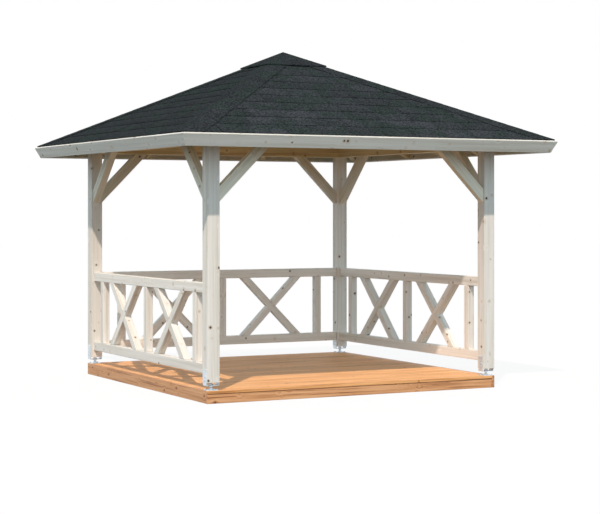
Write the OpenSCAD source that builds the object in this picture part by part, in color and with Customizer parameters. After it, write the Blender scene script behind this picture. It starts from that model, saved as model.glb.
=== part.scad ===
// Square timber garden gazebo: four posts on adjustable steel feet over a low deck,
// knee braces, cross-braced railings on three sides and a hipped shingle roof.
// The origin is at the middle of the footprint on the ground, +Z up.
// The open front faces -Y, and left is -X.

/* [Footprint] */
// Side of the square over the posts' outer faces
site = 3100; // [2400:10:3800]

/* [Deck] */
// Thickness of the floor boards
board_t = 28; // [20:1:40]
// Height of the joists under the boards
joist_h = 90; // [60:5:160]
// Thickness of a joist
joist_t = 44; // [30:1:70]
// Number of joists
joist_count = 7; // [4:1:11]
// Thickness of the boards round the deck's edge
edge_t = 28; // [18:1:40]
// How far the front and rear edge boards sit back under the floor's nosing
nosing = 6; // [0:1:15]
// Height of the shadow gap between the floor and the front and rear edge boards
edge_gap = 6; // [0:1:15]
// Depth of that gap, a groove along the boards' outer top edge
edge_groove = 12; // [2:1:15]

/* [Posts and beams] */
// Side of a square post
post = 120; // [90:1:180]
// Height of the beams' underside, where the posts end, above the deck
head_room = 2232; // [1900:1:2700]
// Height of a beam
beam_h = 165; // [120:5:220]
// Width of a knee brace across its length
brace_w = 96; // [50:1:120]
// Thickness of a knee brace
brace_t = 76; // [40:1:80]
// How far a brace's outer face sits back from the posts' outer faces
brace_back = 14; // [0:1:20]
// Length of a brace's leg along the post, from the beam's underside
brace_leg = 530; // [300:1:700]

/* [Post feet] */
// Side of the square base plate
plate = 112; // [80:1:160]
// Thickness of the base plate
plate_t = 5; // [4:1:10]
// Diameter of the threaded rod
rod_d = 20; // [16:1:30]
// Underside of the cradle above the deck
cradle_z = 42; // [32:1:60]
// Thickness of the cradle's steel
cradle_t = 5; // [3:1:8]
// Height of the cradle, flanges included
flange_h = 150; // [100:5:200]
// Width of the cradle's upright flanges
flange_w = 70; // [40:1:90]
// Width of a nut across its flats
nut_w = 30; // [26:1:40]
// Height of a nut
nut_h = 12; // [8:1:12]
// Clearance between the upper nut and the post's end
nut_clear = 9; // [3:1:30]

/* [Railings] */
// Thickness of the railing timber
rail_t = 72; // [40:1:80]
// Height of the handrail and of the bottom rail
rail_h = 94; // [70:1:120]
// Top of the handrail above the deck
rail_top = 969; // [850:1:1200]
// Underside of the bottom rail above the deck
rail_low = 142; // [100:1:200]
// Width of the uprights and of the crossed boards
bar_w = 75; // [50:1:100]
// Clear gap between a post and the upright beside it
side_gap = 204; // [60:1:220]

/* [Roof] */
// Pitch of the roof in degrees
pitch = 25; // [18:1:32]
// How far the fascia's outer top edge reaches past the posts, measured level
eaves = 443; // [300:1:600]
// Depth of the rafters' notch at the beam's outer face
heel = 19; // [10:1:40]
// Thickness of the shingle layer
shingle_t = 7; // [5:1:12]
// Thickness of the roof boarding
sheath_t = 19; // [15:1:28]
// Width of a rafter
rafter_w = 58; // [45:1:80]
// Depth of a rafter, square to the slope
rafter_h = 95; // [70:1:140]
// Distance from each middle rafter to the ones beside it
rafter_step = 700; // [400:10:900]
// Length by which the king block's faces are wider than the rafters, in all
king_spare = 8; // [2:1:30]
// Thickness of a fascia board
fascia_t = 28; // [18:1:40]
// Height of a fascia board
fascia_h = 120; // [100:1:180]
// How far the shingles stop short of the fascia's outer edge, along the slope
shingle_back = 26; // [20:1:60]
// Width of a hip cap, each side of the hip, measured level
hip_w = 150; // [80:5:200]
// Thickness of the hip caps
hip_t = 7; // [4:1:12]
// Half the side of the square cap over the roof's peak
cap_half = 330; // [200:5:500]
// Thickness of that cap
cap_t = 10; // [6:1:20]

/* [Hidden] */

whitewash = [0.87, 0.84, 0.79];
bare_pine = [0.62, 0.55, 0.45];
decking = [0.86, 0.62, 0.40];
galvanised = [0.72, 0.74, 0.76];
slate_grey = [0.20, 0.22, 0.23];

sides = ["front", "right", "rear", "left"];
half = site / 2;
clear = half - post;
post_mid = half - post / 2;
deck_h = joist_h + board_t;
// From the middle to the front and rear edge boards' inner faces
end_inner = half - nosing - edge_t;
beam_z = deck_h + head_room;
flange_top = cradle_z + flange_h;
post_end = cradle_z + cradle_t + nut_h + nut_clear;
rails_low_top = deck_h + rail_low + rail_h;
handrail_low = deck_h + rail_top - rail_h;
upright_x = clear - side_gap - bar_w / 2;

// Depths under the shingles' top, square to the slope, and distances down the slope from the peak
rise = tan(pitch);
hip_pitch = atan(rise / sqrt(2));
sheath_down = shingle_t + sheath_t;
rafter_down = sheath_down + rafter_h;
slope_len = (half + eaves + shingle_t * sin(pitch)) / cos(pitch);
fascia_in = slope_len - fascia_t;
shingle_end = slope_len - shingle_back;
// The four slopes' top planes meet here, so that the rafters sit on the beams by the heel
peak_z = beam_z + beam_h - heel + rafter_down / cos(pitch) + half * rise;
// The king block is an octagon, each face a little wider than the rafter that meets it
king = (rafter_w + king_spare) / tan(22.5);
// Longer than anything here, for cutting shapes
huge = 3 * site;

// ---- Shared shapes ----

// A box given by its low and high corners
module block(low, high) {
    translate(low) cube(high - low);
}

// Turns what is drawn for the front, which faces -Y, to another side
module to_side(side) {
    rotate([0, 0, 90 * search([side], sides)[0]]) children();
}

// ---- Deck ----

// The floor runs between the side boards, and over the two ends of them that the end boards cover
module deck_floor() {
    color(decking) {
        block([-half + edge_t, -half, joist_h], [half - edge_t, half, deck_h]);
        for (side = ["front", "rear"]) to_side(side)
            block([-half, -half, joist_h], [-half + edge_t, -end_inner, deck_h]);
    }
}

// The outermost joists lie against the side boards, and the rest are spread evenly
module deck_joists() {
    first = half - edge_t - joist_t / 2;
    color(decking) for (i = [0 : joist_count - 1])
        translate([-first + i * 2 * first / (joist_count - 1), 0, 0])
            block([-joist_t / 2, -end_inner, 0], [joist_t / 2, end_inner, joist_h]);
}

// Each board round the deck covers the next one's end, so that the corners go round like a pinwheel
module deck_end_boards() {
    face = -half + nosing;
    color(decking) for (side = ["front", "rear"]) to_side(side) difference() {
        block([-half, face, 0], [half - edge_t, -end_inner, joist_h]);
        block([-half - 1, face - 1, joist_h - edge_gap], [half, face + edge_groove, joist_h + 1]);
    }
}

// The side boards stand as high as the floor and cover its boards' ends
module deck_side_boards() {
    color(decking) for (side = ["left", "right"]) to_side(side)
        block([-half, -half, 0], [end_inner, -half + edge_t, deck_h]);
}

// ---- Feet and posts ----

// Base plate, threaded rod with three nuts, and a cradle whose flanges hold the post
module foot(sx, sy) {
    reach = post / 2 + cradle_t;
    color(galvanised) translate([sx * post_mid, sy * post_mid, deck_h]) {
        block([-plate / 2, -plate / 2, 0], [plate / 2, plate / 2, plate_t]);
        cylinder(h = post_end - nut_clear, d = rod_d, $fn = 48);
        for (z = [plate_t, cradle_z - nut_h, cradle_z + cradle_t])
            translate([0, 0, z]) cylinder(h = nut_h, d = nut_w / cos(30), $fn = 6);
        block([-reach, -flange_w / 2, cradle_z], [reach, flange_w / 2, cradle_z + cradle_t]);
        for (s = [-1, 1]) translate([s * (reach - cradle_t / 2), 0, 0])
            block([-cradle_t / 2, -flange_w / 2, cradle_z], [cradle_t / 2, flange_w / 2, flange_top]);
    }
}

module post_at(sx, sy) {
    color(whitewash) translate([sx * post_mid, sy * post_mid, 0])
        block([-post / 2, -post / 2, deck_h + post_end], [post / 2, post / 2, beam_z]);
}

// ---- Beams and knee braces ----

// The beams cross in half laps over the posts, where front and rear keep their lower half
module beam(side) {
    keeps_low = side == "front" || side == "rear";
    cut_z = keeps_low ? beam_z + beam_h / 2 : beam_z - beam_h / 2;
    color(bare_pine) to_side(side) difference() {
        block([-half, -half, beam_z], [half, -clear, beam_z + beam_h]);
        for (s = [0, 1]) mirror([s, 0, 0])
            block([clear, -half - 1, cut_z], [half + 1, -clear + 1, cut_z + beam_h]);
    }
}

// Two braces at 45 degrees between the posts and the beam, a little behind their outer faces
module braces(side) {
    drop = brace_leg - brace_w * sqrt(2);
    color(whitewash) to_side(side) for (s = [0, 1]) mirror([s, 0, 0])
        translate([-clear, -half + brace_back + brace_t, beam_z]) rotate([90, 0, 0]) linear_extrude(brace_t)
            polygon([[0, -brace_leg], [0, -drop], [drop, 0], [brace_leg, 0]]);
}

// ---- Railings ----

// Moves to the middle of a side's railing, which is the middle of its posts
module railing(side) {
    to_side(side) translate([0, -post_mid, 0]) children();
}

// The bottom rail is cut shorter where it meets the feet's flanges
module rails(side) {
    meets_flanges = side == "rear" && rail_low < flange_top;
    reach = clear - (meets_flanges ? cradle_t : 0);
    color(whitewash) railing(side) {
        block([-reach, -rail_t / 2, deck_h + rail_low], [reach, rail_t / 2, rails_low_top]);
        block([-clear, -rail_t / 2, handrail_low], [clear, rail_t / 2, deck_h + rail_top]);
    }
}

module uprights(side) {
    color(whitewash) railing(side) for (k = [-1, 0, 1])
        translate([k * upright_x, 0, 0])
            block([-bar_w / 2, -rail_t / 2, rails_low_top], [bar_w / 2, rail_t / 2, handrail_low]);
}

// A board at 45 degrees in the middle of each bay, halved over its partner where they cross.
// way is 1 for the boards that rise to the right as seen from outside, and -1 for the others.
// Boards that rise keep their outer half there, except at the rear, where they keep the inner one.
module cross_boards(side, way) {
    tall = handrail_low - rails_low_top;
    cut_face = side == "rear" ? -way : way;
    color(whitewash) railing(side) for (k = [-1, 1])
        translate([k * upright_x / 2, 0, (handrail_low + rails_low_top) / 2]) difference() {
            leaning_board(way, tall, rail_t);
            translate([0, cut_face * rail_t, 0]) leaning_board(-way, tall, 2 * rail_t);
        }
}

// A board with level ends, leaning at 45 degrees through the origin in the XZ plane
module leaning_board(way, tall, thick) {
    a = way * tall / 2;
    b = bar_w / sqrt(2);
    rotate([90, 0, 0]) linear_extrude(thick, center = true)
        polygon([[-a - b, -tall / 2], [-a + b, -tall / 2], [a + b, tall / 2], [a - b, tall / 2]]);
}

// ---- Roof ----

// Moves to the peak and tilts, so that -Y runs down a slope and -Z goes square into it
module on_slope(side) {
    to_side(side) translate([0, 0, peak_z]) rotate([pitch, 0, 0]) children();
}

// The quarter of the plan between two hips, kept back from them by a gap
module quarter(side, gap) {
    to_side(side) translate([0, -gap, 0]) linear_extrude(huge)
        polygon([[0, 0], [-huge, -huge], [huge, -huge]]);
}

// A mitred sheet on one slope, between two distances down it and two depths under its top
module slope_sheet(side, from, to, high, low, gap = 0) {
    intersection() {
        on_slope(side) block([-huge, -to, -low], [huge, -from, -high]);
        quarter(side, gap);
    }
}

// All that lies deeper than a depth under every slope's top
module below_slopes(depth) {
    intersection_for(side = sides)
        on_slope(side) block([-huge, -huge, -huge], [huge, huge, -depth]);
}

// All that lies within a distance down every slope, cut off square to it
module within_eaves(distance) {
    intersection_for(side = sides)
        on_slope(side) block([-huge, -distance, -huge], [huge, huge, huge]);
}

// The beams as the rafters' notches see them, down to the ground
module beam_room() {
    for (side = sides) to_side(side)
        block([-half, -half, 0], [half, -clear, beam_z + beam_h]);
}

module king_prism(low, high) {
    translate([0, 0, low]) rotate([0, 0, 22.5])
        cylinder(h = high - low, d = king / cos(22.5), $fn = 8);
}

// The block that the rafters' heads meet, which hangs a little below them
module king_block() {
    drop = 20;
    rafters_low = peak_z - rafter_down / cos(pitch) - king / 2 * rise;
    color(bare_pine) intersection() {
        king_prism(rafters_low - drop, peak_z);
        below_slopes(sheath_down);
    }
}

// Hip rafters are bevelled on top to both slopes, and their undersides meet the others' lines
module hip_rafters() {
    color(bare_pine) difference() {
        intersection() {
            for (turn = [45 : 90 : 315]) rotate([0, 0, turn])
                translate([0, 0, peak_z - rafter_down / cos(pitch)]) rotate([hip_pitch, 0, 0])
                    block([-rafter_w / 2, -huge, 0], [rafter_w / 2, 0, site / 4]);
            below_slopes(sheath_down);
            within_eaves(fascia_in);
        }
        king_prism(0, huge);
        beam_room();
    }
}

// Three rafters a side: one up to the king block, and one each side of it up to the hips
module side_rafters() {
    color(bare_pine) difference() {
        for (side = sides) {
            slope_rafter(side, 0);
            for (s = [-1, 1]) intersection() {
                slope_rafter(side, s * rafter_step);
                quarter(side, rafter_w / sqrt(2));
            }
        }
        king_prism(0, huge);
        beam_room();
    }
}

// A rafter cut plumb at the roof's middle
module slope_rafter(side, x) {
    intersection() {
        on_slope(side)
            block([x - rafter_w / 2, -fascia_in, -rafter_down], [x + rafter_w / 2, huge, -sheath_down]);
        to_side(side) block([-half, -huge, 0], [half, 0, huge]);
    }
}

// One boarded panel a slope, parted at the hips by a saw cut
module roof_boards() {
    saw_cut = 1;
    color(bare_pine) for (side = sides)
        slope_sheet(side, 0, fascia_in, shingle_t, sheath_down, saw_cut);
}

// A board square to the slope over the rafters' ends, mitred at the corners
module fascia(side) {
    color(whitewash) slope_sheet(side, fascia_in, slope_len, shingle_t, shingle_t + fascia_h);
}

module shingles(side) {
    color(slate_grey) slope_sheet(side, 0, shingle_end, 0, shingle_t);
}

// A folded cap along each hip, from under the roof's cap down to the shingles' edge
module hip_caps() {
    under_cap = 0.8 * cap_half;
    color(slate_grey) difference() {
        intersection() {
            for (turn = [45 : 90 : 315]) rotate([0, 0, turn])
                block([-hip_w, -huge, 0], [hip_w, -under_cap, huge]);
            below_slopes(-hip_t);
            within_eaves(shingle_end);
        }
        below_slopes(0);
    }
}

module roof_cap() {
    color(slate_grey) difference() {
        intersection() {
            block([-cap_half, -cap_half, 0], [cap_half, cap_half, huge]);
            below_slopes(-hip_t - cap_t);
        }
        below_slopes(-hip_t);
    }
}

// ---- The pieces ----

deck_floor();
deck_joists();
deck_end_boards();
deck_side_boards();
foot(-1, -1);  // foot_front_left
foot(1, -1);  // foot_front_right
foot(-1, 1);  // foot_rear_left
foot(1, 1);  // foot_rear_right
post_at(-1, -1);  // post_front_left
post_at(1, -1);  // post_front_right
post_at(-1, 1);  // post_rear_left
post_at(1, 1);  // post_rear_right
beam("front");  // beam_front
beam("rear");  // beam_rear
beam("left");  // beam_left
beam("right");  // beam_right
braces("front");  // braces_front
braces("rear");  // braces_rear
braces("left");  // braces_left
braces("right");  // braces_right
rails("left");  // left_rails
uprights("left");  // left_uprights
cross_boards("left", 1);  // left_rising_boards
cross_boards("left", -1);  // left_falling_boards
rails("rear");  // rear_rails
uprights("rear");  // rear_uprights
cross_boards("rear", 1);  // rear_rising_boards
cross_boards("rear", -1);  // rear_falling_boards
rails("right");  // right_rails
uprights("right");  // right_uprights
cross_boards("right", 1);  // right_rising_boards
cross_boards("right", -1);  // right_falling_boards
king_block();
hip_rafters();
side_rafters();
roof_boards();
fascia("front");  // fascia_front
fascia("rear");  // fascia_rear
fascia("left");  // fascia_left
fascia("right");  // fascia_right
shingles("front");  // shingles_front
shingles("rear");  // shingles_rear
shingles("left");  // shingles_left
shingles("right");  // shingles_right
hip_caps();
roof_cap();
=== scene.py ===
import math
import random

import bmesh
import bpy
from mathutils import Matrix, Vector


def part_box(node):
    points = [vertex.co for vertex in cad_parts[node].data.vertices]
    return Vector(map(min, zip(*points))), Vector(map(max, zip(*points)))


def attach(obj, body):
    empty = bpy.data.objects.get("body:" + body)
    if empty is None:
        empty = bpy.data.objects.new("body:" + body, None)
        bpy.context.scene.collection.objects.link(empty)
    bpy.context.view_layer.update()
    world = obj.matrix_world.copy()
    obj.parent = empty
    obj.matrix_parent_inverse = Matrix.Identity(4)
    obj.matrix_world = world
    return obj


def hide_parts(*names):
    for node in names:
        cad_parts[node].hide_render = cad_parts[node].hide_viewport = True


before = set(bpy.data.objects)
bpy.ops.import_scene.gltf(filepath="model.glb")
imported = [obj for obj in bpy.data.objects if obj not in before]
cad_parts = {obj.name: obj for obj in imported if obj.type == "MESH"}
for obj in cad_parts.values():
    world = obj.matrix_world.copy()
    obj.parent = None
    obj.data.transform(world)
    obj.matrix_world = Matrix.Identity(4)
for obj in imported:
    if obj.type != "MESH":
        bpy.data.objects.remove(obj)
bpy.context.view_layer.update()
print("frame loaded:", len(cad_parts), "nodes")

mm = 0.001
sides = {"front": 0, "right": 90, "rear": 180, "left": 270}  # degrees that turn the front to each
corners = ("front_left", "front_right", "rear_left", "rear_right")
weldWithin = 0.02 * mm  # points closer than this are joined
cutWithin = 0.001 * mm  # points closer than this to a cut lie on it
levelWithin = 1 * mm  # ends of an edge closer than this, along an axis, are level
grainReach = 50  # metres over which a part's grain may start


# An sRGB hex colour as linear values
def linear(hexColour):
    values = [int(hexColour[i:i + 2], 16) / 255 for i in (1, 3, 5)]
    return [v / 12.92 if v <= 0.04045 else ((v + 0.055) / 1.055) ** 2.4 for v in values] + [1.0]


# Adds a shader node, sets its properties, and links or fills its inputs
def addNode(tree, kind, inputs=None, **settings):
    made = tree.nodes.new("ShaderNode" + kind)
    for name, value in settings.items():
        setattr(made, name, value)
    for name, value in (inputs or {}).items():
        if isinstance(value, bpy.types.NodeSocket):
            tree.links.new(value, made.inputs[name])
        else:
            made.inputs[name].default_value = value
    return made


def newMaterial(name):
    material = bpy.data.materials.new(name)
    material.use_nodes = True
    tree = material.node_tree
    tree.nodes.clear()
    surface = addNode(tree, "BsdfPrincipled")
    addNode(tree, "OutputMaterial", {"Surface": surface.outputs[0]})
    return material, tree, surface


# A ramp between sRGB colours at given places
def addRamp(tree, factor, stops):
    ramp = addNode(tree, "ValToRGB", {"Fac": factor})
    elements = ramp.color_ramp.elements
    while len(elements) < len(stops):
        elements.new(0.5)
    for element, (place, colour) in zip(elements, stops):
        element.position = place
        element.color = linear(colour)
    return ramp.outputs["Color"]


# A Mix node's colours are its inputs 6 and 7, and its output 2
def mixColours(tree, factor, first, second):
    return addNode(tree, "Mix", {0: factor, 6: first, 7: second}, data_type="RGBA").outputs[2]


# Multiplies a colour by one or more factors
def shadeColour(tree, colour, *factors):
    for factor in factors:
        colour = addNode(tree, "VectorMath", {0: colour, "Scale": factor},
                         operation="SCALE").outputs[0]
    return colour


# A clean copy of a CAD node: triangles joined and flat faces made whole
def cadMesh(node):
    mesh = bmesh.new()
    mesh.from_mesh(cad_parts[node].data)
    bmesh.ops.remove_doubles(mesh, verts=mesh.verts, dist=weldWithin)
    bmesh.ops.dissolve_limit(mesh, angle_limit=math.radians(1), verts=mesh.verts, edges=mesh.edges)
    return mesh


def bevelEdges(mesh, edges, radius, segments=2):
    bmesh.ops.bevel(mesh, geom=edges, offset=radius, offset_type="OFFSET", segments=segments,
                    profile=0.5, affect="EDGES", material=-1, clamp_overlap=True)


# Edges between two faces that meet at more than an angle
def sharpEdges(mesh, degrees=25):
    least = math.radians(degrees)
    return [e for e in mesh.edges if len(e.link_faces) == 2 and e.calc_face_angle(0) > least]


def edgesOf(verts):
    return list({e for v in verts for e in v.link_edges})


def addBox(mesh, low, high):
    low, high = Vector(low), Vector(high)
    matrix = Matrix.Translation((low + high) / 2) @ Matrix.Diagonal((*(high - low), 1))
    return bmesh.ops.create_cube(mesh, size=1, matrix=matrix)["verts"]


# Extrudes a closed outline, which lies flat, along a vector
def addExtrusion(mesh, points, along):
    face = mesh.faces.new([mesh.verts.new(p) for p in points])
    made = bmesh.ops.extrude_face_region(mesh, geom=[face])["geom"]
    moved = [g for g in made if isinstance(g, bmesh.types.BMVert)]
    bmesh.ops.translate(mesh, verts=moved, vec=along)
    return list(face.verts) + moved


# A bar of any number of sides from one point to another
def addBar(mesh, start, end, radius, barSides):
    axis = end - start
    turn = axis.to_track_quat("Z", "Y").to_matrix().to_4x4()
    matrix = Matrix.Translation((start + end) / 2) @ turn
    return bmesh.ops.create_cone(mesh, cap_ends=True, segments=barSides, radius1=radius, radius2=radius,
                                 depth=axis.length, matrix=matrix)["verts"]


# Adds all of one mesh to another
def addMesh(mesh, other):
    holder = bpy.data.meshes.new("holder")
    other.to_mesh(holder)
    other.free()
    mesh.from_mesh(holder)
    bpy.data.meshes.remove(holder)


# The mesh's loose parts, each as a list of its vertices
def looseParts(mesh):
    left, parts = set(mesh.verts), []
    while left:
        part, stack = [], [left.pop()]
        while stack:
            vert = stack.pop()
            part.append(vert)
            for edge in vert.link_edges:
                other = edge.other_vert(vert)
                if other in left:
                    left.remove(other)
                    stack.append(other)
        parts.append(part)
    return parts


# Gives every loose part its own grain, which is coordinates along and across its length with a
# random start, and its own tone. The materials read both.
def markGrain(mesh, seed, tones=(0, 1)):
    rng = random.Random(seed)
    grain = mesh.verts.layers.float_vector.new("grain")
    tone = mesh.verts.layers.float.new("tone")
    mesh.verts.index_update()
    for part in sorted(looseParts(mesh), key=lambda part: min(v.index for v in part)):
        longest = max(edgesOf(part), key=lambda e: (round(e.calc_length(), 6),
                                                    -min(v.index for v in e.verts),
                                                    -max(v.index for v in e.verts)))
        along = (longest.verts[1].co - longest.verts[0].co).normalized()
        upright = abs(along.z) >= 0.9
        helper = Vector((1, 0, 0)) if upright else Vector((0, 0, 1))
        across = along.cross(helper).normalized()
        depth = along.cross(across)
        shift = Vector([rng.uniform(-grainReach, grainReach) for _ in range(3)])
        shade = rng.uniform(*tones)
        for vert in part:
            vert[grain] = Vector((vert.co.dot(along), vert.co.dot(across), vert.co.dot(depth))) + shift
            vert[tone] = shade


# Makes a mesh an object that stands for CAD nodes. Edges under an angle are shaded smooth.
def finishPiece(mesh, name, nodes, material, smoothUnder=40):
    data = bpy.data.meshes.new(name)
    mesh.to_mesh(data)
    mesh.free()
    piece = bpy.data.objects.new(name, data)
    bpy.context.scene.collection.objects.link(piece)
    data.materials.append(material)
    data.shade_smooth()
    data.set_sharp_from_angle(angle=math.radians(smoothUnder))
    evened = piece.modifiers.new("even shading", "WEIGHTED_NORMAL")
    evened.keep_sharp = True  # flat faces stay flat beside eased edges
    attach(piece, "root")
    if nodes:
        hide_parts(*nodes)


# A timber piece with the CAD node's own shape and eased edges
def easedPiece(name, node, radius, material, segments=2, tones=(0, 1)):
    mesh = cadMesh(node)
    bevelEdges(mesh, sharpEdges(mesh), radius, segments)
    markGrain(mesh, name, tones)
    finishPiece(mesh, name, [node], material)


# Spruce, planed and brushed with a white stain: a pale film that lets faint darker growth lines
# through, with small brown knots and a low sheen
whiteStain = dict(light="#F5F1EA", middle="#ECE7DE", dark="#DAD3C6", knot="#47362A", eye="#CDBFA9",
                  streakWidth=42 * mm, streakLength=1.9, fibreWidth=5 * mm, fibreLength=0.35,
                  fibreContrast=0.025, tones=(0.93, 1.03), knotCell=(0.26, 0.08, 0.08),
                  knotSize=13 * mm, roughness=0.6, bump=0.15)
# The same on the braces, drawn slightly yellower, which is painted yellow bounce light from the bare
# roof boards, and on the fascia, drawn duller, which is painted shade, where the knots are larger
braceStainAndBounce = dict(whiteStain, light="#F5F1E0", middle="#ECE7D5", dark="#DAD3BF", tones=(0.86, 1.06))
fasciaStainShaded = dict(whiteStain, light="#F1F0E9", middle="#E8E6DD", dark="#D6D2C5", tones=(0.85, 0.91),
                   knot="#3A2C22", knotCell=(0.32, 0.07, 0.07), knotSize=17 * mm)
# Spruce, planed and left bare: straw coloured, with the same growth lines and knots
bareSpruce = dict(light="#E6D8B2", middle="#D8C89E", dark="#BDA57A", knot="#5C3D22", eye="#B98F5D",
                  streakWidth=36 * mm, streakLength=1.6, fibreWidth=5 * mm, fibreLength=0.35,
                  fibreContrast=0.04, tones=(0.92, 1.05), knotCell=(0.40, 0.11, 0.11), knotSize=12 * mm,
                  roughness=0.65, bump=0.2)
# Larch, planed and oiled: warm orange brown, with darker latewood streaks along each board
oiledLarch = dict(light="#FBC384", middle="#EEAF71", dark="#B87841", knot="#57301A", eye="#B97A48",
                  streakWidth=26 * mm, streakLength=0.9, fibreWidth=5 * mm, fibreLength=0.3,
                  fibreContrast=0.05, tones=(0.92, 1.07), knotCell=(0.42, 0.10, 0.10), knotSize=12 * mm,
                  roughness=0.55, bump=0.2)
# The same oiled larch on edge, as the deck's frame, with stronger latewood streaks: drawn browner and
# darker than the decking, which is painted shade
frameLarchShaded = dict(oiledLarch, light="#E5B182", middle="#D59B6B", dark="#8A552F", tones=(0.82, 1.06),
                  streakWidth=18 * mm, knotCell=(0.30, 0.08, 0.08), knotSize=14 * mm)


# What all the woods share. Knot distances are in knot radii.
wood = dict(smallestKnot=0.45, bend=(0.8, 4.5), bendPull=-0.8, streakDetail=5.0, streakRoughness=0.62,
            streakRange=(0.36, 0.68), fibreDetail=3.0, fibreRange=(0.3, 0.7), eye=(1.0, 2.4),
            eyeStrength=0.7, heart=(0.7, 1.1), ior=1.46, relief=0.3 * mm)


# Wood from a dictionary of looks. Growth lines wander along the board and bend round the knots. Each
# cell of the board holds one knot, so that only some reach a face.
def makeWood(name, look):
    material, tree, surface = newMaterial(name)
    grain = addNode(tree, "Attribute", attribute_name="grain").outputs["Vector"]
    tone = addNode(tree, "Attribute", attribute_name="tone").outputs["Fac"]
    cell = look["knotCell"]
    inCells = addNode(tree, "VectorMath", {0: grain, 1: [1 / c for c in cell]},
                      operation="MULTIPLY").outputs[0]
    cells = addNode(tree, "TexVoronoi", {"Vector": inCells, "Scale": 1.0}).outputs
    away = addNode(tree, "VectorMath", {0: inCells, 1: cells["Position"]},
                   operation="SUBTRACT").outputs[0]
    away = addNode(tree, "VectorMath", {0: away, 1: cell}, operation="MULTIPLY").outputs[0]
    distance = addNode(tree, "VectorMath", {0: away}, operation="LENGTH").outputs["Value"]
    pick = addNode(tree, "SeparateColor", {"Color": cells["Color"]}).outputs["Red"]
    largest = look["knotSize"]
    radius = addNode(tree, "MapRange", {"Value": pick, "To Min": largest * wood["smallestKnot"],
                                        "To Max": largest}).outputs[0]
    ratio = addNode(tree, "Math", {0: distance, 1: radius}, operation="DIVIDE").outputs[0]
    pull = addNode(tree, "MapRange", {"Value": ratio, "From Min": wood["bend"][0],
                                      "From Max": wood["bend"][1], "To Min": wood["bendPull"],
                                      "To Max": 0.0}, interpolation_type="SMOOTHSTEP").outputs[0]
    bend = addNode(tree, "VectorMath", {0: away, "Scale": pull}, operation="SCALE").outputs[0]
    bent = addNode(tree, "VectorMath", {0: grain, 1: bend}, operation="ADD").outputs[0]
    finer = (1 / look["streakLength"], 1 / look["streakWidth"], 1 / look["streakWidth"])
    stretched = addNode(tree, "VectorMath", {0: bent, 1: finer}, operation="MULTIPLY").outputs[0]
    streaks = addNode(tree, "TexNoise", {"Vector": stretched, "Scale": 1.0,
                                         "Detail": wood["streakDetail"],
                                         "Roughness": wood["streakRoughness"]}).outputs["Fac"]
    finest = (1 / look["fibreLength"], 1 / look["fibreWidth"], 1 / look["fibreWidth"])
    drawn = addNode(tree, "VectorMath", {0: bent, 1: finest}, operation="MULTIPLY").outputs[0]
    fibres = addNode(tree, "TexNoise", {"Vector": drawn, "Scale": 1.0,
                                        "Detail": wood["fibreDetail"]}).outputs["Fac"]
    spread = addNode(tree, "MapRange", {"Value": streaks, "From Min": wood["streakRange"][0],
                                        "From Max": wood["streakRange"][1]}).outputs[0]
    colour = addRamp(tree, spread, [(0.0, look["light"]), (0.5, look["middle"]), (1.0, look["dark"])])
    board = addNode(tree, "MapRange", {"Value": tone, "To Min": look["tones"][0],
                                       "To Max": look["tones"][1]}).outputs[0]
    contrast = look["fibreContrast"]
    fleck = addNode(tree, "MapRange", {"Value": fibres, "From Min": wood["fibreRange"][0],
                                       "From Max": wood["fibreRange"][1], "To Min": 1 - contrast,
                                       "To Max": 1 + contrast}).outputs[0]
    colour = shadeColour(tree, colour, board, fleck)
    eye = addNode(tree, "MapRange", {"Value": ratio, "From Min": wood["eye"][0],
                                     "From Max": wood["eye"][1], "To Min": wood["eyeStrength"],
                                     "To Max": 0.0}, interpolation_type="SMOOTHSTEP").outputs[0]
    heart = addNode(tree, "MapRange", {"Value": ratio, "From Min": wood["heart"][0],
                                       "From Max": wood["heart"][1], "To Min": 1.0,
                                       "To Max": 0.0}, interpolation_type="SMOOTHSTEP").outputs[0]
    colour = mixColours(tree, eye, colour, linear(look["eye"]))
    colour = mixColours(tree, heart, colour, linear(look["knot"]))
    tree.links.new(colour, surface.inputs["Base Color"])
    surface.inputs["Roughness"].default_value = look["roughness"]
    surface.inputs["IOR"].default_value = wood["ior"]
    relief = addNode(tree, "Bump", {"Height": fibres, "Strength": look["bump"],
                                    "Distance": wood["relief"]})
    tree.links.new(relief.outputs[0], surface.inputs["Normal"])
    return material


# Steel, hot-dip galvanised: pale silver, dull from the zinc bath, with faint patches of spangle
zinc = dict(light="#E6EEF4", dark="#CDD9E3", spangle=9 * mm, metal=0.6, roughness=(0.3, 0.45))


def makeZinc():
    material, tree, surface = newMaterial("hot-dip galvanised steel")
    place = addNode(tree, "TexCoord").outputs["Object"]
    cells = addNode(tree, "TexVoronoi", {"Vector": place, "Scale": 1 / zinc["spangle"]}).outputs
    pick = addNode(tree, "SeparateColor", {"Color": cells["Color"]}).outputs["Red"]
    colour = mixColours(tree, pick, linear(zinc["light"]), linear(zinc["dark"]))
    tree.links.new(colour, surface.inputs["Base Color"])
    rough = addNode(tree, "MapRange", {"Value": cells["Distance"], "To Min": zinc["roughness"][0],
                                       "To Max": zinc["roughness"][1]}).outputs[0]
    tree.links.new(rough, surface.inputs["Roughness"])
    surface.inputs["Metallic"].default_value = zinc["metal"]  # the rest is the dull bloom on the zinc
    return material


# Bitumen shingles with mineral granules: near black, faintly blue green, matt and grainy, each tab a
# little lighter or darker than its neighbours. Real granules are 1 mm across, too fine to show, so
# they are drawn in clumps of 18 mm.
mineral = dict(light="#3B3F43", dark="#2C2F32", green="#2E3635", clump=18 * mm, clumpDetail=4.0,
               clumpRoughness=0.75, clumpRange=(0.34, 0.66), contrast=0.8, patch=240 * mm,
               patchDetail=3.0, patchRange=(0.42, 0.62), cutEdgeAndShade=0.15, roughness=0.95, bump=0.4,
               relief=1.0 * mm)


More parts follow.
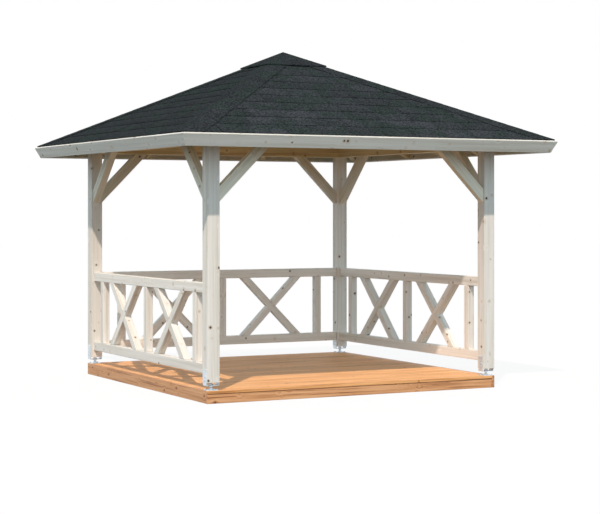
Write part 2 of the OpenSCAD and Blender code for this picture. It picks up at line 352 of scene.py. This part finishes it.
def makeMineral():
    material, tree, surface = newMaterial("mineral coated bitumen")
    place = addNode(tree, "TexCoord").outputs["Object"]
    tone = addNode(tree, "Attribute", attribute_name="tone").outputs["Fac"]
    granules = addNode(tree, "TexNoise", {"Vector": place, "Scale": 1 / mineral["clump"],
                                          "Detail": mineral["clumpDetail"],
                                          "Roughness": mineral["clumpRoughness"]}).outputs["Fac"]
    patches = addNode(tree, "TexNoise", {"Vector": place, "Scale": 1 / mineral["patch"],
                                         "Detail": mineral["patchDetail"]}).outputs["Fac"]
    base = mixColours(tree, tone, linear(mineral["dark"]), linear(mineral["light"]))
    tint = addNode(tree, "MapRange", {"Value": patches, "From Min": mineral["patchRange"][0],
                                      "From Max": mineral["patchRange"][1]}).outputs[0]
    base = mixColours(tree, tint, base, linear(mineral["green"]))
    speck = addNode(tree, "MapRange", {"Value": granules, "From Min": mineral["clumpRange"][0],
                                       "From Max": mineral["clumpRange"][1],
                                       "To Min": 1 - mineral["contrast"],
                                       "To Max": 1 + mineral["contrast"]}).outputs[0]
    # below tone 0 a shingle darkens towards its cut edges: the black bitumen of the cut edges, and
    # painted shade under each butt and in the slots
    edge = addNode(tree, "MapRange", {"Value": tone, "From Min": -1.0, "From Max": 0.0,
                                      "To Min": mineral["cutEdgeAndShade"], "To Max": 1.0}).outputs[0]
    tree.links.new(shadeColour(tree, base, speck, edge), surface.inputs["Base Color"])
    surface.inputs["Roughness"].default_value = mineral["roughness"]
    surface.inputs["Specular IOR Level"].default_value = 0.0  # granules shade each other, with no sheen
    relief = addNode(tree, "Bump", {"Height": granules, "Strength": mineral["bump"],
                                    "Distance": mineral["relief"]})
    tree.links.new(relief.outputs[0], surface.inputs["Normal"])
    return material


whiteWood = makeWood("white stained spruce", whiteStain)
braceWoodAndBounce = makeWood("stained spruce, painted yellow bounce", braceStainAndBounce)
fasciaWoodShaded = makeWood("stained spruce, painted darker", fasciaStainShaded)
bareWood = makeWood("bare spruce", bareSpruce)
deckWood = makeWood("oiled larch decking", oiledLarch)
frameWoodShaded = makeWood("oiled larch frame boards, painted darker", frameLarchShaded)
zincSteel = makeZinc()
mineralFelt = makeMineral()
print("materials made")

# Deck: floor boards along X over seven joists, edge boards that go round like a pinwheel, and screws
deck = dict(boardCount=26, gap=4 * mm, edgeBoard=28 * mm, nosing=6 * mm, radius=2.5 * mm,
            joist=44 * mm, joistCount=7, screwRadius=4 * mm, screwHeight=0.6 * mm, screwSides=8,
            screwInset=26 * mm,
            # the side boards' tones are lower than the end boards': painted shade on the deck's sides
            frameToneAndShade=dict(joists=(0, 1), end_boards=(0.7, 1), side_boards=(0, 0.3)))

low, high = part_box("deck_floor")
left, right = low.x + deck["edgeBoard"], high.x - deck["edgeBoard"]
covered = deck["nosing"] + deck["edgeBoard"]  # from the front to the front edge board's inner face
rowPitch = (high.y - low.y + deck["gap"]) / deck["boardCount"]
mesh = bmesh.new()
for i in range(deck["boardCount"]):
    near = low.y + i * rowPitch
    far = near + rowPitch - deck["gap"]
    if i == 0:  # the first board runs out over the left side board's end
        outline = [(low.x, near), (right, near), (right, far), (left, far), (left, near + covered),
                   (low.x, near + covered)]
    elif i == deck["boardCount"] - 1:  # and the last one over the right side board's end
        outline = [(left, near), (right, near), (right, far - covered), (high.x, far - covered),
                   (high.x, far), (left, far)]
    else:
        outline = [(left, near), (right, near), (right, far), (left, far)]
    addExtrusion(mesh, [(x, y, low.z) for x, y in outline], (0, 0, high.z - low.z))
bmesh.ops.recalc_face_normals(mesh, faces=mesh.faces)
bevelEdges(mesh, sharpEdges(mesh), deck["radius"])
markGrain(mesh, "deck boards")
finishPiece(mesh, "deck_boards", ["deck_floor"], deckWood)

for name, tones in deck["frameToneAndShade"].items():
    easedPiece("deck_frame_" + name, "deck_" + name, deck["radius"], frameWoodShaded,
               tones=tones)

mesh = bmesh.new()
firstJoist = left + deck["joist"] / 2
joistStep = (right - left - deck["joist"]) / (deck["joistCount"] - 1)
for i in range(deck["boardCount"]):
    middle = low.y + i * rowPitch + (rowPitch - deck["gap"]) / 2
    reach = (rowPitch - deck["gap"]) / 2 - deck["screwInset"]
    for j in range(deck["joistCount"]):
        for sign in (-1, 1):
            base = Vector((firstJoist + j * joistStep, middle + sign * reach, high.z))
            top = base + Vector((0, 0, deck["screwHeight"]))
            addBar(mesh, base, top, deck["screwRadius"], deck["screwSides"])
finishPiece(mesh, "deck_screws", [], zincSteel)
print("deck built")

# Posts, beams, braces and railings: CAD shapes with planed edges, each kind eased by its own radius.
# Tones, from 0 to 1, say how pale the timber of each side or corner is drawn: each piece's tone is
# random within its range, and the ranges' offsets between sides and corners are painted light and
# shade.
timber = dict(post=5 * mm, beam=4 * mm, brace=5 * mm, rail=7 * mm, bar=5 * mm, rafter=3 * mm,
              fascia=2.5 * mm, railingTones=dict(left=(0, 1), rear=(0.9, 1), right=(0.4, 1)),
              braceToneAndLight=dict(front=(0.9, 1), right=(0.2, 0.3), rear=(0, 0.1), left=(0.4, 0.5)),
              postToneAndLight=dict(front_left=(0.5, 0.6), front_right=(0, 0.1), rear_left=(0.3, 0.5),
                             rear_right=(0.6, 0.7)))

for corner, tones in timber["postToneAndLight"].items():
    easedPiece("timber_post_" + corner, "post_" + corner, timber["post"], whiteWood, tones=tones)
for side, tones in timber["braceToneAndLight"].items():
    # the beams take the bare spruce, whose straw colour on them is painted warm bounce light from the
    # deck under the roof
    easedPiece("timber_beam_" + side, "beam_" + side, timber["beam"], bareWood)
    easedPiece("knee_braces_" + side, "braces_" + side, timber["brace"], braceWoodAndBounce, tones=tones)
for side, tones in timber["railingTones"].items():
    easedPiece(f"{side}_railing_rails", f"{side}_rails", timber["rail"], whiteWood, segments=3,
               tones=tones)
    for part in ("uprights", "rising_boards", "falling_boards"):
        easedPiece(f"{side}_railing_{part}", f"{side}_{part}", timber["bar"], whiteWood, tones=tones)
print("posts, beams and railings built")

# Steel feet: base plate with four bolts, threaded rod with three nuts, and a bent cradle that is
# screwed to the post from both sides. Heights are above the deck, for nuts and screws in millimetres.
foot = dict(plate=112 * mm, plateThick=5 * mm, plateCorner=8 * mm, bolt=40 * mm, head=7.5 * mm,
            washer=11 * mm, washerThick=1.6 * mm, washerSides=20, headThick=5.3 * mm, rod=10 * mm,
            rodSides=20, threadPitch=2.5 * mm, threadDepth=1.2 * mm, rodTop=59 * mm, nut=17.3 * mm,
            nutThick=12 * mm, nuts=(5, 30, 47), cradle=42 * mm, cradleThick=5 * mm, cradleBend=4 * mm,
            cradleHalf=65 * mm, cradleTop=192 * mm, flangeHalf=35 * mm, screws=(90, 124),
            edge=0.8 * mm)


def addHexHead(mesh, base, outward, thick, radius):
    verts = addBar(mesh, base, base + outward * thick, radius, 6)
    rims = [e for e in edgesOf(verts)
            if abs((e.verts[0].co - e.verts[1].co).dot(outward)) < levelWithin]
    bevelEdges(mesh, rims, foot["edge"], 1)


def addWasherAndHead(mesh, base, outward):
    top = base + outward * foot["washerThick"]
    addBar(mesh, base, top, foot["washer"], foot["washerSides"])
    addHexHead(mesh, top, outward, foot["headThick"], foot["head"])


for corner in corners:
    low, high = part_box("foot_" + corner)
    centre = Vector(((low.x + high.x) / 2, (low.y + high.y) / 2, low.z))
    up = Vector((0, 0, 1))
    mesh = bmesh.new()
    half = foot["plate"] / 2
    verts = addBox(mesh, (-half, -half, 0), (half, half, foot["plateThick"]))
    upright = [e for e in edgesOf(verts) if abs(e.verts[0].co.z - e.verts[1].co.z) > levelWithin]
    bevelEdges(mesh, upright, foot["plateCorner"], 4)
    bevelEdges(mesh, sharpEdges(mesh, 50), foot["edge"], 1)
    # the rod's outline is a zigzag that is spun round
    turns = int(foot["rodTop"] / foot["threadPitch"])
    root = foot["rod"] - foot["threadDepth"]
    outline = [(0, 0), (root, 0)]
    for i in range(turns):
        crest = (i + 0.5) * foot["threadPitch"]
        outline += [(foot["rod"], crest), (root, crest + foot["threadPitch"] / 2)]
    outline.append((0, turns * foot["threadPitch"]))
    line = [mesh.verts.new((r, 0, z)) for r, z in outline]
    edges = [mesh.edges.new(pair) for pair in zip(line, line[1:])]
    bmesh.ops.spin(mesh, geom=line + edges, cent=(0, 0, 0), axis=(0, 0, 1), angle=2 * math.pi,
                   steps=foot["rodSides"], use_merge=True)
    bmesh.ops.remove_doubles(mesh, verts=mesh.verts, dist=weldWithin)
    for z in foot["nuts"]:
        addHexHead(mesh, up * z * mm, up, foot["nutThick"], foot["nut"])
    for x in (-1, 1):
        for y in (-1, 1):
            base = Vector((x * foot["bolt"], y * foot["bolt"], foot["plateThick"]))
            addWasherAndHead(mesh, base, up)
    # the cradle is a flat bar bent up at both ends
    outer, inner = foot["cradleHalf"], foot["cradleHalf"] - foot["cradleThick"]
    bottom, floorTop, top = foot["cradle"], foot["cradle"] + foot["cradleThick"], foot["cradleTop"]
    profile = [(-outer, bottom), (outer, bottom), (outer, top), (inner, top), (inner, floorTop),
               (-inner, floorTop), (-inner, top), (-outer, top)]
    y = -foot["flangeHalf"]
    verts = addExtrusion(mesh, [(x, y, z) for x, z in profile], (0, 2 * foot["flangeHalf"], 0))
    bends = [e for e in edgesOf(verts) if abs(e.verts[0].co.y - e.verts[1].co.y) > levelWithin
             and e.verts[0].co.z < bottom + levelWithin]
    bevelEdges(mesh, bends, foot["cradleBend"], 3)
    for x in (-1, 1):
        for z in foot["screws"]:
            addWasherAndHead(mesh, Vector((x * outer, 0, z * mm)), Vector((x, 0, 0)))
    bmesh.ops.recalc_face_normals(mesh, faces=mesh.faces)
    bmesh.ops.translate(mesh, verts=mesh.verts, vec=centre)
    finishPiece(mesh, "steel_foot_" + corner, ["foot_" + corner], zincSteel, 30)
print("feet built")

# Roof timber and boarding. Slope coordinates are x level, y down the slope and z square to it. The
# boards lie under the felt, which is the shingles' full depth.
roof = dict(pitch=math.radians(25), boardPitch=96 * mm, boardGap=0.3 * mm, groove=4 * mm, felt=7 * mm,
            boards=19 * mm, sawCut=1 * mm)

for name in ("king_block", "hip_rafters", "side_rafters"):
    easedPiece("roof_" + name, name, timber["rafter"], bareWood)
for side in sides:
    easedPiece("eaves_fascia_" + side, "fascia_" + side, timber["fascia"], fasciaWoodShaded)

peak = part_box("shingles_front")[1].z  # where the shingles' top planes meet
shingleEnd = -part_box("shingles_front")[0].y / math.cos(roof["pitch"])
boardsEnd = (-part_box("roof_boards")[0].y / math.cos(roof["pitch"])
             + roof["felt"] * math.tan(roof["pitch"]))


def slopeMatrix(side):
    turn = Matrix.Rotation(math.radians(sides[side]), 4, "Z")
    tilt = Matrix.Rotation(roof["pitch"], 4, "X")
    return turn @ Matrix.Translation((0, 0, peak)) @ tilt @ Matrix.Diagonal((1, -1, 1, 1))


# Turns a slope's mesh to its place, and cuts it off at the two hips, short of them by a gap
def placeOnSlope(mesh, side, gap):
    bmesh.ops.transform(mesh, matrix=slopeMatrix(side), verts=mesh.verts)
    bmesh.ops.recalc_face_normals(mesh, faces=mesh.faces)
    turn = Matrix.Rotation(math.radians(sides[side]), 3, "Z")
    for sign in (-1, 1):
        normal = turn @ Vector((sign, 1, 0)).normalized()
        cut = bmesh.ops.bisect_plane(mesh, geom=mesh.verts[:] + mesh.edges[:] + mesh.faces[:],
                                     dist=cutWithin, plane_co=turn @ Vector((0, -gap, 0)),
                                     plane_no=normal, clear_outer=True)
        edges = [e for e in cut["geom_cut"] if isinstance(e, bmesh.types.BMEdge) and e.is_boundary]
        bmesh.ops.holes_fill(mesh, edges=edges)


mesh = bmesh.new()
boardsTop, boardsUnder = -roof["felt"], -roof["felt"] - roof["boards"]
for side in sides:
    slope = bmesh.new()
    for i in range(int(boardsEnd / roof["boardPitch"])):
        far = boardsEnd - i * roof["boardPitch"]
        near = far - roof["boardPitch"] + roof["boardGap"]
        verts = addBox(slope, (-far, near, boardsUnder), (far, far, boardsTop))
        under = [e for e in edgesOf(verts)
                 if max(v.co.z for v in e.verts) < (boardsUnder + boardsTop) / 2
                 and abs(e.verts[0].co.y - e.verts[1].co.y) < levelWithin]
        bevelEdges(slope, under, roof["groove"], 1)  # the joints show as grooves from below
    placeOnSlope(slope, side, roof["sawCut"])
    addMesh(mesh, slope)
markGrain(mesh, "roof boards")
finishPiece(mesh, "roof_boarding", ["roof_boards"], bareWood)
print("roof boards built")

# Shingles: an underlay, and courses of tabs that lie over the course below. A tab is thin at its head
# and thick at its butt, the lower edge that shows, by a range in millimetres.
shingle = dict(exposure=190 * mm, firstCourse=214 * mm, width=333 * mm, stagger=(0, 0.25),
               slot=5 * mm, overlap=30 * mm, butt=(4.2, 6.9), head=1.2 * mm, clear=0.1 * mm,
               jitter=2.5 * mm, skew=1.5 * mm, underlay=0.8 * mm, underlayInset=8 * mm, ease=1.2 * mm,
               edgeAndShadeTone=-2, paintedHeadLight=0.4,
               # the left slope's tones are lower than the other slopes': painted shade on that slope,
               # darkened further below tone 0 as at the cut edges
               tones=dict(front=(0.1, 0.8), right=(0.1, 0.8), rear=(0.1, 0.8), left=(-0.12, 0.05)))

for side in sides:
    rng = random.Random("shingles " + side)
    mesh = bmesh.new()
    tone = mesh.verts.layers.float.new("tone")
    bed = -roof["felt"]
    addBox(mesh, (-shingleEnd, 0, bed), (shingleEnd, shingleEnd - shingle["underlayInset"],
                                         bed + shingle["underlay"]))
    far, length, row = shingleEnd, shingle["firstCourse"], 0
    while far > shingle["exposure"] / 2:
        near = max(far - length - shingle["overlap"], 0)
        x = -far - shingle["width"] * ((row % 2) / 2 + rng.choice(shingle["stagger"]))
        while x < far:
            shade = rng.uniform(*shingle["tones"][side])
            lift = rng.uniform(*shingle["butt"]) * mm
            end = far - (rng.uniform(0, 1) * shingle["jitter"] if row else 0)
            verts = addBox(mesh, (x + shingle["slot"] / 2, near, bed + shingle["clear"]),
                           (x + shingle["width"] - shingle["slot"] / 2, end, 0))
            # a tab's lower corners take a tone far below 0: painted shade under its butt and in its
            # slots, over the black cut edges. The top of its exposed part is lighter: a painted
            # highlight just below the butt of the course above
            for v in verts:
                atButt = v.co.y > near + levelWithin
                v[tone] = shingle["edgeAndShadeTone"]
                if v.co.z > bed / 2:
                    v[tone] = shade if atButt else shade + shingle["paintedHeadLight"]
                    v.co.z = bed + (lift if atButt else shingle["head"])
                if atButt and row:
                    v.co.y -= rng.uniform(0, 1) * shingle["skew"]
            butt = [e for e in edgesOf(verts) if min(v.co.y for v in e.verts) > near + levelWithin
                    and min(v.co.z for v in e.verts) > bed + levelWithin]
            bevelEdges(mesh, butt, shingle["ease"], 1)
            x += shingle["width"]
        far, length, row = far - length, shingle["exposure"], row + 1
    placeOnSlope(mesh, side, 0)
    finishPiece(mesh, "shingle_courses_" + side, ["shingles_" + side], mineralFelt,
                20)
print("shingles built")

# Hip caps: folded tabs up each hip, each one over the tab below, and a square cap over the peak
cap = dict(width=150 * mm, taper=0.94, exposure=160 * mm, length=290 * mm, shortest=20 * mm,
           thick=1.6 * mm, lift=2.6 * mm, jitter=6 * mm, start=264 * mm, tones=(0, 0.5),
           peakTones=(0, 0.1), ease=1.5 * mm)
hipEnd = shingleEnd * math.cos(roof["pitch"]) * math.sqrt(2)
hipFall = math.tan(roof["pitch"]) / math.sqrt(2)

mesh = bmesh.new()
rng = random.Random("hip caps")
for degrees in sides.values():
    hip = bmesh.new()
    lower = hipEnd
    while lower > cap["start"] + cap["shortest"]:
        upper = max(lower - cap["length"], cap["start"])
        wide = cap["width"] - rng.uniform(0, 1) * cap["jitter"]
        for v in addBox(hip, (-wide, -lower, 0), (wide, -upper, cap["thick"])):
            if v.co.y < -upper - levelWithin:
                v.co.z += cap["lift"]
            else:
                v.co.x *= cap["taper"]
        lower -= cap["exposure"]
    bmesh.ops.bisect_plane(hip, geom=hip.verts[:] + hip.edges[:] + hip.faces[:], dist=cutWithin,
                           plane_co=(0, 0, 0), plane_no=(1, 0, 0))
    for v in hip.verts:  # folds each tab over the hip, on to both slopes
        if v.co.y < -hipEnd + levelWithin:
            v.co.y += abs(v.co.x)  # the lowest tab is cut along the eaves
        v.co.z += peak - hipFall * (abs(v.co.y) + abs(v.co.x))
    turn = Matrix.Rotation(math.radians(degrees + 45), 4, "Z")  # a hip lies midway between two sides
    bmesh.ops.transform(hip, matrix=turn, verts=hip.verts)
    addMesh(mesh, hip)
markGrain(mesh, "hip caps", cap["tones"])
finishPiece(mesh, "felt_hip_caps", ["hip_caps"], mineralFelt, 15)

mesh = cadMesh("roof_cap")
bevelEdges(mesh, sharpEdges(mesh, 50), cap["ease"], 1)
markGrain(mesh, "roof cap", cap["peakTones"])
finishPiece(mesh, "felt_roof_cap", ["roof_cap"], mineralFelt, 15)
print("roof built")

# Camera at standing height to the left of the front, with the verticals kept upright
view = dict(place=(-7.694, -15.106, 1.746), turn=-27.164, lens=99.07, sensor=36, reach=500,
            shiftX=0.020, shiftY=-0.0778)
camera = bpy.data.objects.new("camera", bpy.data.cameras.new("camera"))
bpy.context.scene.collection.objects.link(camera)
camera.location = view["place"]
camera.rotation_euler = (math.radians(90), 0, math.radians(view["turn"]))
camera.data.lens = view["lens"]
camera.data.sensor_width = view["sensor"]
camera.data.sensor_fit = "HORIZONTAL"
camera.data.shift_x = view["shiftX"]
camera.data.shift_y = view["shiftY"]
camera.data.clip_end = view["reach"]
bpy.context.scene.camera = camera

# A soft sun from the front left, and a plain sky that is brightest low down
light = dict(toSun=(-0.526, -0.646, 1.0), sun=3.0, sunColour="#FFEFE2", spread=1.2, horizon=1.34,
             zenith=0.5, skyHeights=(0.1, 0.9), skyColour="#D8EBF6", ground="#54514A")
sun = bpy.data.objects.new("sun", bpy.data.lights.new("sun", "SUN"))
bpy.context.scene.collection.objects.link(sun)
sun.data.energy = light["sun"]
sun.data.color = linear(light["sunColour"])[:3]
sun.data.angle = math.radians(light["spread"])
sun.rotation_euler = Vector(light["toSun"]).to_track_quat("Z", "Y").to_euler()


# 1 for rays that should see the white background: straight from the camera, or mirrored or bent
def seenRays(tree):
    rays = addNode(tree, "LightPath").outputs
    total = rays["Is Camera Ray"]
    for name in ("Is Glossy Ray", "Is Transmission Ray"):
        total = addNode(tree, "Math", {0: total, 1: rays[name]}, operation="MAXIMUM").outputs[0]
    return total


world = bpy.data.worlds.new("studio")
world.use_nodes = True
bpy.context.scene.world = world
tree = world.node_tree
tree.nodes.clear()
direction = addNode(tree, "TexCoord").outputs["Generated"]
height = addNode(tree, "SeparateXYZ", {"Vector": direction}).outputs["Z"]
strength = addNode(tree, "MapRange", {"Value": height, "From Min": light["skyHeights"][0],
                                      "From Max": light["skyHeights"][1], "To Min": light["horizon"],
                                      "To Max": light["zenith"]},
                   interpolation_type="SMOOTHSTEP").outputs[0]
skyLight = addNode(tree, "Background", {"Color": linear(light["skyColour"]), "Strength": strength})
white = addNode(tree, "Background", {"Color": (1, 1, 1, 1), "Strength": 1.0})
mixed = addNode(tree, "MixShader", {0: seenRays(tree), 1: skyLight.outputs[0], 2: white.outputs[0]})
addNode(tree, "OutputWorld", {"Surface": mixed.outputs[0]})

# Floor: white to the eye with a faint shadow, and dark grey to the light that it sends back up
studio = dict(size=60, pale="#F0F0F0", glow=0.91)
mesh = bmesh.new()
bmesh.ops.create_grid(mesh, x_segments=1, y_segments=1, size=studio["size"])
data = bpy.data.meshes.new("floor")
mesh.to_mesh(data)
mesh.free()
floor = bpy.data.objects.new("floor", data)
bpy.context.scene.collection.objects.link(floor)
floorPaint, tree, surface = newMaterial("pale studio floor")
tree.nodes.remove(surface)
ground = addNode(tree, "BsdfDiffuse", {"Color": linear(light["ground"])})
pale = addNode(tree, "BsdfDiffuse", {"Color": linear(studio["pale"])})
glow = addNode(tree, "Emission", {"Color": (1, 1, 1, 1), "Strength": 1.0})
seen = addNode(tree, "MixShader", {0: studio["glow"], 1: pale.outputs[0], 2: glow.outputs[0]})
whole = addNode(tree, "MixShader", {0: seenRays(tree), 1: ground.outputs[0], 2: seen.outputs[0]})
tree.links.new(whole.outputs[0], tree.nodes["Material Output"].inputs["Surface"])
data.materials.append(floorPaint)

bpy.context.scene.view_settings.view_transform = "Standard"

print("scene ready")
